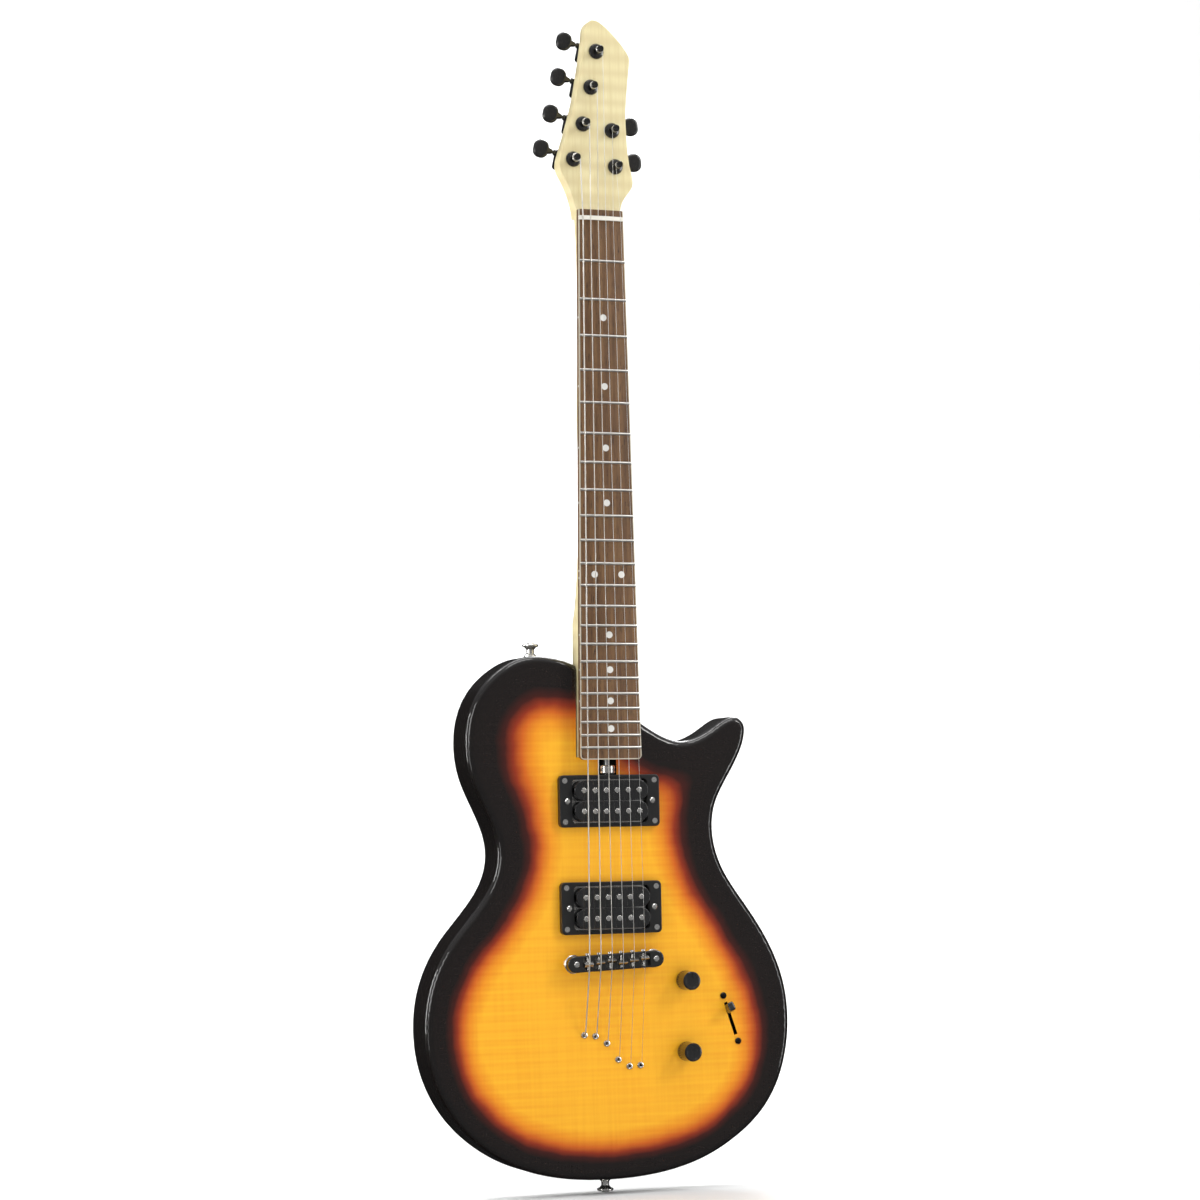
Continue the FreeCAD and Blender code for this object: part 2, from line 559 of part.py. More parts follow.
for n, r, side, pl, wz in TUNERS:
    def here(obj, pl=pl):
        obj.Placement = pl.multiply(obj.Placement)
        return obj
    c0 = pl.Base
    # string post with its worm gear, turned about the post axis
    post = turned("post_%d" % n, [(0, -31.0), (1.5, -31.0), (1.5, -29.6), (4.1, -29.6), (4.1, -26.4),
                                  (3.0, -26.4), (3.0, -4.2), (2.5, -3.4), (2.35, -0.4), (2.5, 2.0), (3.0,
                                                                                                     2.8),
                                  (3.0, 3.3), (2.5, 3.9), (0, 3.9)])
    stand(post, c0.x, 0, c0.z)
    rim = [(4.7 if k % 2 == 0 else 3.9,
            math.pi * 2 * (k + 0.5 * e) / 28) for k in range(28) for e in (-0.7, 0.7)]
    gear = slab(lines([(c0.x + q * math.cos(a), c0.z + q * math.sin(a)) for q, a in rim]), 26.5, 29.5)
    slot_cut = box(c0.x - 3.5, c0.x + 3.5, -5.0, -2.9, c0.z - 0.5, c0.z + 0.5)
    node("tuner_post_%d" % n, cut(fuse(post, gear), slot_cut))
    # key: oval button, neck, collar, shaft and worm
    button = fillet(slab(rounded(25.6, wz, 14.0, 16.4, 6.4), 25.0, 31.0), 2.3,
                    lambda e: e.BoundBox.YLength < 1e-6)
    here(button)
    key = fuse(button, here(cone(2.2, 3.6, (15.2, 28, wz), (20.6, 28, wz))), here(cyl(1.5, (-5.2, 28,
        wz), (17, 28, wz))),
               here(cyl(2.2, (-3.6, 28, wz), (3.6, 28, wz))), here(cyl(2.7, (11.65, 28, wz), (13.4, 28,
                                                                                              wz))))
    node("tuner_key_%d" % n, key)
    # sealed housing
    zc = wz * 0.16
    shell = fillet(slab(rounded(1.6, wz * 0.24, 19.8, 18.0, 3.0), HEADB, 33.0), 1.6,
                   lambda e: abs(e.BoundBox.YMin - 33.0) < 1e-6 and e.BoundBox.YLength < 1e-6)
    lug = slab(rounded(-8.6, -wz * 0.4, 7.0, 6.0, 2.9), HEADB, HEADB + 1.8)
    body_h = fuse(here(shell), here(lug))
    inside = [here(cyl(5.2, (0, HEADB + 2.4, 0), (0, 31.6, 0))), here(box(-5.4, 5.4, 25.2, 30.8, min(0,
        wz) - (2.8 if wz < 0 else 0),
                                                                   max(0, wz) + (2.8 if wz > 0 else 0))),
              here(bind(cyl(3.06, (0, HEADB - 1, 0), (0, 32.0, 0)), Radius="dims.post_hole")),
              here(cyl(1.56, (0, 28, wz), (14, 28, wz))),
              here(cyl(1.2, (-9.6, HEADB - 1, -wz * 0.4), (-9.6, HEADB + 3, -wz * 0.4))),
              here(cone(1.25, 2.5, (-9.6, HEADB + 0.3, -wz * 0.4), (-9.6, HEADB + 1.81, -wz * 0.4)))]
    housings.append(cut(body_h, *inside))
    # bushing: domed washer and sleeve
    b = turned("bush_%d" % n, [(3.05, -18.0), (4.88, -18.0), (4.88, -HEADF), (6.85, -HEADF), (6.85, -7.6),
                               (5.9, -6.4), (4.3, -5.9), (3.05, -5.9)])
    stand(b, c0.x, 0, c0.z)
    bushings.append(b)
    sp = pl.multVec(V(-9.6, 0, -wz * 0.4))
    wood_screws.append(wood_screw(sp.x, HEADB + 1.8, sp.z, (0, -1, 0), 9.5, 1.1))
node("tuner_housings", group(housings))
node("tuner_bushings", group(bushings))
for x, z in RING_SCREWS:
    wood_screws.append(wood_screw(x, RING_TOP, z, (0, 1, 0), 15.0))
for x, z in COVER_SCREWS:
    wood_screws.append(wood_screw(x, BACK, z, (0, -1, 0), 14.0))
node("wood_screws", group(wood_screws))


# ---------------------------------------------------------------- strings
def wire_run(points, radii, r):
    """Round wire along straight runs joined by tangent bends, as touching solids of one radius."""
    solids, start, length = [], points[0], 0.0
    for k in range(1, len(points)):
        p = points[k]
        d1 = (p - points[k - 1]).normalize()
        if k == len(points) - 1:
            solids.append(Part.makeCylinder(r, (p - start).Length, start, d1))
            return solids, length + (p - start).Length
        d2 = (points[k + 1] - p).normalize()
        th = math.acos(max(-1, min(1, d1.dot(d2))))
        bend = radii[k - 1]
        t = bend * math.tan(th / 2)
        q = p - d1 * t
        solids.append(Part.makeCylinder(r, (q - start).Length, start, d1))
        centre = p + (d2 - d1).normalize() * (bend / math.cos(th / 2))
        disc = Part.Face(Part.Wire([Part.Circle(q, d1, r).toShape()]))
        solids.append(disc.revolve(centre, d1.cross(d2), math.degrees(th)))
        length += (q - start).Length + bend * th
        start = p + d2 * t


WRAPS = {6: 2, 5: 2, 4: 3, 3: 3, 2: 4, 1: 4}
for n, r, side, px, pz, off, fz in STRINGS:
    x = BRIDGE_X[n]
    rc = 2.55 + r + 0.1
    y_in = -0.7
    nut_point = V(NUT_X[n], nut_y(n), NUT_LEN / 2)
    delta = 0.0
    for _ in range(6):
        touch = V(px - side * rc * math.cos(delta), y_in, pz + rc * math.sin(delta) * side)
        delta = math.atan2((touch - nut_point).x, (touch - nut_point).z)
    pts = [V(x, BACK - 4.0, fz), V(x, FRONT - 3.0, fz), V(x, saddle_y(n), saddle_z(n, off)), nut_point,
           touch]
    solids, length = wire_run(pts, [2.0, 2.5, 8.0], r)
    # the top wrap carries on from the straight run; the wraps under it are closed rings
    last = (touch - nut_point).normalize()
    middle = V(px, y_in, pz)
    disc = Part.Face(Part.Wire([Part.Circle(touch, last, r).toShape()]))
    solids.append(disc.revolve(middle, (touch - middle).cross(last), 345.0))
    pitch = 2 * r + 0.15
    rings = [Part.makeTorus(rc, r, V(px, y_in + pitch * k, pz), V(0, 1, 0)) for k in range(1, WRAPS[n])]
    ball = Part.makeCylinder(1.9, 3.0, V(x, BACK - 4.3, fz), V(0, 1, 0))
    s = doc.addObject("Part::Feature", "string_%d" % n)
    s.Shape = Part.makeCompound([solids[0].fuse(solids[1:] + [ball])] + rings)
    s.Placement = FreeCAD.Placement()
    node("string_%d" % n, s)
    total = length + 2 * math.pi * rc * WRAPS[n]
    print("string_%d radius %.3f mm, length about %.0f mm, %d solid" % (n, r, total, len(s.Shape.Solids)))

# ---------------------------------------------------------------- bridge
BASE_TOP, BASE_LOW = -2.4, 4.2


def on_bridge(obj):
    obj.Placement = BRIDGE_PLACE.multiply(obj.Placement)
    return obj


base = fillet(slab(rounded(0, 0, 89.0, 14.4, 7.1), BASE_TOP, BASE_LOW), 1.1,
              lambda e: e.BoundBox.YLength < 1e-6)
trough = box(-31.6, 31.6, BASE_TOP - 1, 1.6, -5.3, 5.3)
base_tools = [trough] + [bind(cyl(2.56, (s * D["stud_half"], BASE_TOP - 1, 0), (s * D["stud_half"],
                                                                                BASE_LOW + 1, 0)),
                              Radius="dims.stud_hole")
                         for s in (-1, 1)]
saddle_screws, saddles = [], []
SCREW_Y = 0.0
for n, r, side, px, pz, off, fz in STRINGS:
    x = bridge_local_x(n)
    base_tools.append(cyl(1.06, (x, SCREW_Y, -9), (x, SCREW_Y, 9)))
    scr = fuse(cyl(1.0, (x, SCREW_Y, -7.4), (x, SCREW_Y, 8.6)), cyl(1.75, (x, SCREW_Y, 7.3), (x, SCREW_Y,
                                                                                              8.9)))
    saddle_screws.append(cut(scr, box(x - 2, x + 2, SCREW_Y - 0.25, SCREW_Y + 0.25, 8.3, 9.5)))
    crest = saddle_y(n) + r + 0.05
    sk = fresh("Part::Feature", "saddle_profile")
    prof = [V(x - 3.9, 1.5, off - 2.2), V(x - 3.9, -2.6, off - 2.2), V(x - 3.9, crest - 0.3, off - 0.1),
            V(x - 3.9, crest - 0.3, off + 0.45), V(x - 3.9, -2.6, off + 2.2), V(x - 3.9, 1.5, off + 2.2)]
    sk.Shape = Part.Face(Part.makePolygon(prof + [prof[0]])).extrude(V(7.8, 0, 0))
    notch = cyl(r + 0.3, (x, crest - r - 0.3, off - 3), (x, crest - r - 0.3, off + 3))
    saddles.append((n, cut(sk, cyl(1.06, (x, SCREW_Y, off - 3), (x, SCREW_Y, off + 3)), notch)))
node("bridge_base", on_bridge(cut(base, *base_tools)))
node("saddle_screws", on_bridge(group(saddle_screws)))
for n, s in saddles:
    node("saddle_%d" % n, on_bridge(s))
posts, inserts = [], []
for s in STUDS:
    p = turned("bridge_post_%d" % len(posts), [(0, -30.0), (2.9, -30.0), (2.9, -6.8), (7.6, -6.8), (8.2,
                                                                                                    -6.2),
                                               (8.2, -4.9), (7.6, -4.25), (2.5, -4.25), (2.5, 3.7), (2.0,
                                                                                                     4.1),
                                               (0, 4.1)])
    stand(p, s.x, 0, s.z)
    posts.append(cut(p, box(s.x - 3, s.x + 3, -4.6, -3.2, s.z - 0.45, s.z + 0.45)))
    i = turned("insert_%d" % len(inserts), [(2.95, -33.0), (5.48, -33.0), (5.48, -FRONT), (6.6, -FRONT),
                                            (6.6, -11.4), (6.2, -11.0), (2.95, -11.0)])
    stand(i, s.x, 0, s.z)
    inserts.append(i)
node("bridge_posts", group(posts))
node("bridge_inserts", group(inserts))
ferrules = []
for n, r, side, px, pz, off, fz in STRINGS:
    x = BRIDGE_X[n]
    f = turned("ferrule_%d" % n, [(1.3, -FRONT - 7), (2.17, -FRONT - 7), (2.17, -FRONT), (3.0, -FRONT),
                                  (3.0, -FRONT + 0.5), (2.5, -FRONT + 1.2), (1.9, -FRONT + 1.4), (1.3,
                                      -FRONT + 1.0)])
    g = turned("rear_ferrule_%d" % n, [(0.95, -BACK + 10), (0.95, -BACK + 7.4), (1.95, -BACK + 7.0),
                                       (1.95, -BACK),
                                       (3.85, -BACK), (3.85, -BACK + 0.98), (2.97, -BACK + 0.98),
                                       (2.97, -BACK + 10)])
    stand(f, x, 0, fz)
    stand(g, x, 0, fz)
    ferrules += [f, g]
node("string_ferrules", group(ferrules))

# ---------------------------------------------------------------- pickups
rings, hscrews, springs = [], [], []
for label, zc in (("neck", -D["neck_pickup"]), ("bridge", -D["bridge_pickup"])):
    outer = fillet(slab(rounded(0, zc, D["ring_length"], D["ring_width"], 4.0), RING_TOP, FRONT), 0.9,
                   lambda e: e.BoundBox.YLength < 1e-6 and abs(e.BoundBox.YMin - RING_TOP) < 1e-6)
    holes = [slab(rounded(0, zc, 70.4, 38.8, 4.0), RING_TOP - 1, FRONT + 1)]
    for x, z in RING_SCREWS:
        if abs(z - zc) < 30:
            holes += [cyl(1.32, (x, RING_TOP - 1, z), (x, FRONT + 1, z)),
                      cone(2.42, 1.32, (x, RING_TOP - 0.01, z), (x, RING_TOP + 1.62, z))]
    for s in (-1, 1):
        holes.append(cyl(1.62, (s * 39.5, RING_TOP - 1, zc), (s * 39.5, FRONT + 1, zc)))
    rings.append(cut(outer, *holes))
    bobbins, poles = [], []
    for row in (-1, 1):
        zr = zc + row * D["row_pitch"] / 2
        b = fuse(slab(rounded(0, zr, 68.4, 17.6, 8.7), 1.8, 3.6), slab(rounded(0, zr, 66.4, 15.8, 7.8),
                                                                       3.6, 12.0),
                 slab(rounded(0, zr, 68.4, 17.6, 8.7), 12.0, 13.6))
        b = fillet(b, 0.6, lambda e: e.BoundBox.YLength < 1e-6 and abs(e.BoundBox.YMin - 1.8) < 1e-6)
        xs = [(k - 2.5) * D["pole_pitch"] for k in range(6)]
        bobbins.append(cut(b, *[bind(cyl(2.4, (x, 0, zr), (x, 15, zr)), Radius="dims.pole_hole")
                                for x in xs]))
        for x in xs:
            pole = bind(cyl(2.38, (x, 0.9, zr), (x, 13.55, zr)), Radius="dims.pole_radius")
            pole = fillet(pole, 0.5,
                          lambda e: e.BoundBox.YLength < 1e-6 and abs(e.BoundBox.YMin - 0.9) < 1e-3)
            if row > 0:
                pole = cut(pole, box(x - 3, x + 3, 0.5, 1.7, zr - 0.35, zr + 0.35))
            poles.append(pole)
    node("%s_pickup_bobbins" % label, group(bobbins))
    node("%s_pickup_poles" % label, group(poles))
    plate = fuse(slab(rounded(0, zc, 68.0, 38.0, 3.0), 13.62, 14.8), box(-30, 30, 14.8, 18.4, zc - 5.5,
                                                                         zc + 5.5),
                 slab(rounded(0, zc, 85.0, 12.0, 2.5), 19.2, 20.2),
                 box(-34.0, -33.0, 13.62, 20.2, zc - 6, zc + 6), box(33.0, 34.0, 13.62, 20.2, zc - 6,
                                                                     zc + 6))
    plate = cut(plate, box(-33.0, 33.0, 18.8, 21, zc - 7, zc + 7),
                *[cyl(1.6, (s * 39.5, 18, zc), (s * 39.5, 22, zc)) for s in (-1, 1)])
    node("%s_pickup_plate" % label, plate)
    for s in (-1, 1):
        x = s * 39.5
        h = turned("height_screw_%s_%d" % (label, s + 1), [(0, -33.0), (1.5, -33.0), (1.5, -RING_TOP),
                                                           (2.7, -RING_TOP), (2.6, -RING_TOP + 1.0),
                                                           (1.7, -RING_TOP + 1.7), (0, -RING_TOP + 1.9)])
        stand(h, x, 0, zc)
        hscrews.append(cut(h, box(x - 0.35, x + 0.35, RING_TOP - 2.5, RING_TOP - 0.9, zc - 3, zc + 3)))
        # ribbed sleeve standing for the coil spring under the ring
        ribs = []
        for k in range(7):
            low = -19.1 + 0.94 * k
            ribs += [(D["spring_radius"], low), (D["spring_radius"], low + 0.5)]
            if k < 6:
                ribs += [(2.05, low + 0.5), (2.05, low + 0.94)]
        sp = turned("spring_%d" % len(springs), [(1.85, -19.1)] + ribs + [(1.85, -12.96)])
        stand(sp, x, 0, zc)
        springs.append(sp)
node("pickup_rings", group(rings))
node("height_springs", group(springs))

# ---------------------------------------------------------------- controls
pots = []
TOP_IN = FRONT + 6.0
for label, (kx, kz) in zip(("volume", "tone"), KNOBS):
    pot = fuse(cyl(8.4, (kx, TOP_IN + 1.0, kz), (kx, TOP_IN + 10.5, kz)), cyl(3.95, (kx, FRONT - 2.6,
        kz), (kx, TOP_IN + 1.2, kz)),
               cyl(6.2, (kx, FRONT - 1.9, kz), (kx, FRONT, kz)), cyl(5.0, (kx, TOP_IN, kz), (kx,
                   TOP_IN + 1.5, kz)),
               box(kx - 7, kx + 7, TOP_IN + 2.2, TOP_IN + 3.6, kz - 14.5, kz))
    pots.append(cut(pot, cyl(3.05, (kx, FRONT - 4, kz), (kx, TOP_IN + 8, kz))))
    k = turned("%s_knob_blank" % label, [(0, 1.2), (7.9, 1.2), (D["knob_radius"], 1.9),
                                         (D["knob_radius"], 4.0), (D["knob_radius"] - 0.5, 17.9),
                                         (D["knob_radius"] - 1.2, 18.9), (6.0, 19.2), (5.7, 18.8), (0,
                                                                                                    18.8)])
    stand(k, kx, FRONT, kz)
    flutes = []
    for q in range(24):
        a = math.radians(15 * q + 7.5)
        rr = D["knob_radius"] + 0.1
        flutes.append(cyl(0.5, (kx + rr * math.cos(a), FRONT - 4.2, kz + rr * math.sin(a)),
                          (kx + rr * math.cos(a), FRONT - 17.4, kz + rr * math.sin(a))))
    under = cyl(6.5, (kx, FRONT, kz), (kx, FRONT - 5.0, kz))
    mark = box(kx - 0.4, kx + 0.4, FRONT - 20.0, FRONT - 18.3, kz + 1.5, kz + 9)
    shaft_k = bind(cyl(3.0, (kx, FRONT - 6, kz), (kx, TOP_IN + 7.5, kz)), Radius="dims.knob_shaft")
    node("%s_knob" % label, fuse(cut(k, group(flutes), under, mark), shaft_k))
node("potentiometers", group(pots))


def on_switch(obj):
    obj.Placement = FreeCAD.Placement(V(sw_mid.x, 0, sw_mid.z), FreeCAD.Rotation(V(0, 1, 0),
                                                                                 SW_ANGLE)).multiply(
        obj.Placement)
    return obj


# blade switch seen along its travel: +Z towards the tail, the lever's pivot behind the top
PIVOT_Y = 33.0
L2 = math.hypot(SW_B[0] - SW_A[0], SW_B[1] - SW_A[1]) / 2
frame_s = fuse(box(-5.0, 5.0, TOP_IN, TOP_IN + 1.2, -25.5, 25.5), box(-5.0, -3.9, TOP_IN, TOP_IN + 23,
                                                                      -17, 17),
               box(3.9, 5.0, TOP_IN, TOP_IN + 23, -17, 17), box(-8.5, -5.0, TOP_IN + 8, TOP_IN + 22, -14,
                                                                14),
               box(-5.0, 5.0, TOP_IN + 21.8, TOP_IN + 23, -9, 9))
frame_s = cut(frame_s, box(-2.2, 2.2, TOP_IN - 1, TOP_IN + 3, -16.5, 16.5),
              cyl(1.2, (-6, PIVOT_Y, 0), (6, PIVOT_Y, 0)),
              *[cyl(1.6, (0, TOP_IN - 1, s * L2), (0, TOP_IN + 3, s * L2)) for s in (-1, 1)])
node("switch_frame", on_switch(frame_s))
TILT = 20.0
blade = fuse(box(-0.8, 0.8, 0.0, 28.0, -2.4, 2.4), cyl(2.4, (-0.8, 0, 0), (0.8, 0, 0)),
             cyl(1.14, (-4.8, 0, 0), (4.8, 0, 0)), box(-0.8, 0.8, -4.5, 0.0, -3.5, 3.5))
tip = fillet(box(-3.0, 3.0, 25.6, 35.6, -4.0, 4.0), 1.6, lambda e: True)
lever = fuse(blade, tip)
# drawn along +Y from its pivot: turn it to point out of the face, leaning towards the neck
lever.Placement = FreeCAD.Placement(V(0, PIVOT_Y, 0), FreeCAD.Rotation(V(1, 0, 0), 180 + TILT))
node("switch_lever", on_switch(lever))
for s in (-1, 1):
    m = turned("switch_screw_%d" % (s + 1), [(0, -11.0), (1.5, -11.0), (1.5, 0), (2.9, 0), (2.8, 0.9),
                                             (1.9, 1.7),
                                             (0, 2.0)])
    q = V(sw_mid.x, FRONT, sw_mid.z) + su * (s * L2)
    stand(m, q.x, q.y, q.z)
    hscrews.append(cut(m, box(q.x - 3, q.x + 3, FRONT - 2.6, FRONT - 1.0, q.z - 0.35, q.z + 0.35)))
node("machine_screws", group(hscrews))

# barrel jack with its flange on the rim
jack = turned("jack_blank", [(3.2, 1.6), (6.0, 1.6), (8.4, 1.6), (9.0, 0.9), (9.0, -0.4), (5.95, -0.4),
                             (5.95, -30.0), (4.4, -31.0), (4.4, -34.0), (3.2, -34.0)])
stand(jack, JACK.x, JACK.y, JACK.z, (JDIR.x, 0, JDIR.z))
seat = cyl(9.2, *[tuple(JACK + JDIR * t) for t in (-0.4, 12)])
body_full = NODES["body"]
body_full.Label = "body_without_jack_seat"
node("body", cut(body_full, seat))
node("output_jack", jack)

cover = slab(smooth_loop(CAV, 7.0), BACK - COVER_IN + 0.02, BACK)
node("control_cover", cut(cover, *[t for x, z in COVER_SCREWS
                                   for t in (cyl(1.32, (x, BACK - 4, z), (x, BACK + 1, z)),
                                             cone(2.42, 1.32, (x, BACK + 0.01, z), (x, BACK - 1.62, z)))]))

# ---------------------------------------------------------------- strap buttons and neck fixings
buttons, bscrews = [], []
for p, d in STRAPS:
    b = turned("strap_button_%d" % len(buttons), [(1.82, 0), (5.6, 0), (5.4, 1.2), (3.6, 3.4), (3.4,
        6.6), (5.0, 8.6),
                                                  (7.2, 9.6), (7.2, 10.6), (6.6, 11.4), (3.6, 11.8),
                                                  (1.82, 9.8)])
    e = V(p.x, p.y, p.z) + d * 0.1
    stand(b, e.x, e.y, e.z, (d.x, d.y, d.z))
    buttons.append(b)
    s = turned("strap_screw_%d" % len(bscrews), [(0, -25.0), (1.7, -23.0), (1.75, 0), (1.78, 9.8), (3.4,
                                                                                                    11.6),
                                                 (3.0, 12.4), (0, 12.7)])
    stand(s, e.x, e.y, e.z, (d.x, d.y, d.z))
    bscrews.append(s)
seats = [bind(cyl(6.2, *[tuple(V(p.x, p.y, p.z) + d * t) for t in (0.1, 14)]), Radius="dims.strap_seat")
         for p, d in STRAPS]
body_seated = NODES["body"]
body_seated.Label = "body_without_strap_seats"
node("body", cut(body_seated, *seats))
node("strap_buttons", group(buttons))
node("strap_screws", group(bscrews))
nscrews, nferrules = [], []
for x, z in NECK_SCREWS:
    f = turned("neck_ferrule_%d" % len(nferrules), [(2.45, -2.98), (6.95, -2.98), (6.95, 0), (4.9, 0),
                                                    (2.45, -2.2)])
    stand(f, x, BACK, z, (0, 1, 0))
    nferrules.append(f)
    s = turned("neck_screw_%d" % len(nscrews), [(0, -42.0), (1.0, -42.0), (2.25, -39.0), (2.25, -2.39),
                                                (2.33, -2.2), (4.1, -0.62),
                                                (4.1, -0.1), (0, -0.1)])
    stand(s, x, BACK, z, (0, 1, 0))
    nscrews.append(cut(s, *[box(x - a, x + a, BACK - 1.4, BACK + 1, z - b, z + b) for a, b in ((2.6,
        0.5), (0.5, 2.6))]))
node("neck_screws", group(nscrews))
node("neck_ferrules", group(nferrules))

doc.recompute()
bad = [o.Label for o in doc.Objects if "Invalid" in o.State or "Error" in o.State]
if bad:
    raise RuntimeError("features in error: %s" % bad[:12])
os.makedirs("parts", exist_ok=True)
for name, obj in NODES.items():
    shape = obj.Shape
    if shape.isNull() or not shape.isValid() or not shape.Solids:
        raise RuntimeError("bad shape: %s" % name)
    shape.exportStep("parts/%s.step" % name)
print(len(NODES), "nodes")
jp = JACK + JDIR * 1.6
print("jack mouth", [round(v, 3) for v in jp], "axis", [round(v, 5) for v in JDIR])
print("studs", [[round(v, 3) for v in s] for s in STUDS])
print("switch mid", [round(v, 3) for v in sw_mid], "angle", round(SW_ANGLE, 4), "along", [round(v,
    5) for v in su])
for n, r, side, pl, wz in TUNERS:
    q, a = pl.multVec(V(0, 28, wz)), pl.Rotation.multVec(V(1, 0, 0))
    print("key", n, [round(v, 3) for v in q], [round(v, 5) for v in a])
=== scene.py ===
import math
import bmesh
import bpy
import numpy as np
from mathutils import Matrix, Vector


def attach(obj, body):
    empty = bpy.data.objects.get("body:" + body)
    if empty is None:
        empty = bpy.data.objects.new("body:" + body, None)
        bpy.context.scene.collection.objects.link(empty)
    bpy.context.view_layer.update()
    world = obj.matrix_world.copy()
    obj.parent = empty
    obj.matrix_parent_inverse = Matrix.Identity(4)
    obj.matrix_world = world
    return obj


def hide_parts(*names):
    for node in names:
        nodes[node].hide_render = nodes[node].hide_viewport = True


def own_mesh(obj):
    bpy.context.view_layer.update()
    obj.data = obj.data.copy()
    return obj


# Solid-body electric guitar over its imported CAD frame. Metres: +Z up the neck, the front faces -Y.
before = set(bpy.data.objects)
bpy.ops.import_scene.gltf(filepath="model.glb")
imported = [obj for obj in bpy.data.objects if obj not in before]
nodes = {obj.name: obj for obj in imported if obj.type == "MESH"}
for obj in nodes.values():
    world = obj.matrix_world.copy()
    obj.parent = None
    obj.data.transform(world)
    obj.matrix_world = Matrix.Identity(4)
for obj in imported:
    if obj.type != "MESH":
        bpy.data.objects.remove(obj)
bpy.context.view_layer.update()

# the CAD part's own dimensions that the finishes and the coils follow
FRONT_Y = 0.012                              # the body's top face
BOARD_HALF, BOARD_TAPER, BOARD_END = 0.021, 0.01574, 0.4765   # fingerboard: half width at the nut, taper, end
NECK_PICKUP_Z, BRIDGE_PICKUP_Z = -0.5125, -0.6056
HEIGHT_SCREW_X = 0.0395
FLOOR_Z = -0.8545
BURST_UNIT = 0.060                           # depth in from the rim where the burst attribute reaches 1
EDGE_HIGHLIGHT_WIDTH = 0.0009                           # width of the painted highlight line round the fingerboard's edge
WRAP_PITCH = 0.00045                         # wrap wire of the wound strings


# ------------------------------------------------------------------ material helpers
def new_material(name):
    m = bpy.data.materials.new(name)
    m.use_nodes = True
    return m, m.node_tree, m.node_tree.nodes["Principled BSDF"]


def add(tree, kind, **values):
    n = tree.nodes.new(kind)
    for key, value in values.items():
        if key in n.inputs:
            n.inputs[key].default_value = value
        else:
            setattr(n, key, value)
    return n


def link(tree, a, b):
    tree.links.new(a, b)


def coords(tree, scale):
    tc = add(tree, "ShaderNodeTexCoord")
    mp = add(tree, "ShaderNodeMapping")
    mp.inputs["Scale"].default_value = scale
    link(tree, tc.outputs["Object"], mp.inputs["Vector"])
    return mp.outputs["Vector"]


def noise(tree, vector, scale, detail=3.0, rough=0.55, distortion=0.0):
    n = add(tree, "ShaderNodeTexNoise", Scale=scale, Detail=detail, Roughness=rough, Distortion=distortion)
    link(tree, vector, n.inputs["Vector"])
    return n.outputs["Fac"]


def ramp(tree, fac, stops):
    r = add(tree, "ShaderNodeValToRGB")
    el = r.color_ramp.elements
    while len(el) < len(stops):
        el.new(0.5)
    for e, (pos, colour) in zip(el, stops):
        e.position = pos
        e.color = (*colour, 1.0)
    link(tree, fac, r.inputs["Fac"])
    return r.outputs["Color"]


def mix(tree, fac, a, b, blend="MIX"):
    n = add(tree, "ShaderNodeMix", data_type="RGBA", blend_type=blend)
    for socket, value in ((n.inputs[0], fac), (n.inputs[6], a), (n.inputs[7], b)):
        if isinstance(value, bpy.types.NodeSocket):
            link(tree, value, socket)
        elif isinstance(value, (int, float)):
            socket.default_value = value
        else:
            socket.default_value = (*value, 1.0)
    return n.outputs[2]


def maths(tree, op, a, b=0.0, c=0.0, clamp=False):
    n = add(tree, "ShaderNodeMath", operation=op, use_clamp=clamp)
    for socket, value in zip(n.inputs, (a, b, c)):
        if isinstance(value, bpy.types.NodeSocket):
            link(tree, value, socket)
        else:
            socket.default_value = value
    return n.outputs[0]


def bump(tree, bsdf, height, strength, distance):
    b = add(tree, "ShaderNodeBump", Strength=strength, Distance=distance)
    link(tree, height, b.inputs["Height"])
    link(tree, b.outputs["Normal"], bsdf.inputs["Normal"])


def setup(bsdf, **values):
    for key, value in values.items():
        bsdf.inputs[key.replace("_", " ")].default_value = value


def metal(name, colour, rough, spread=0.05, grain=900.0, coat=0.0):
    """Metal with faint handling marks in its roughness."""
    m, t, b = new_material(name)
    setup(b, Metallic=1.0, Coat_Weight=coat, Coat_Roughness=0.05)
    v = coords(t, (1, 1, 1))
    n = noise(t, v, grain, 2.0)
    big = noise(t, v, 60.0, 2.0)
    link(t, ramp(t, big, [(0.3, tuple(c * 0.93 for c in colour)), (0.7, colour)]), b.inputs["Base Color"])
    link(t, maths(t, "MULTIPLY_ADD", n, spread, rough - spread / 2), b.inputs["Roughness"])
    return m


def plastic(name, colour, rough, coat=0.0, spread=0.08):
    m, t, b = new_material(name)
    setup(b, Coat_Weight=coat, Coat_Roughness=0.04, IOR=1.5)
    v = coords(t, (1, 1, 1))
    big = noise(t, v, 45.0, 3.0)
    fine = noise(t, v, 2400.0, 1.0)
    link(t, ramp(t, big, [(0.25, tuple(c * 0.85 for c in colour)), (0.75, colour)]), b.inputs["Base Color"])
    link(t, maths(t, "MULTIPLY_ADD", big, spread, rough - spread / 2), b.inputs["Roughness"])
    bump(t, b, fine, 0.06, 0.0002)
    return m


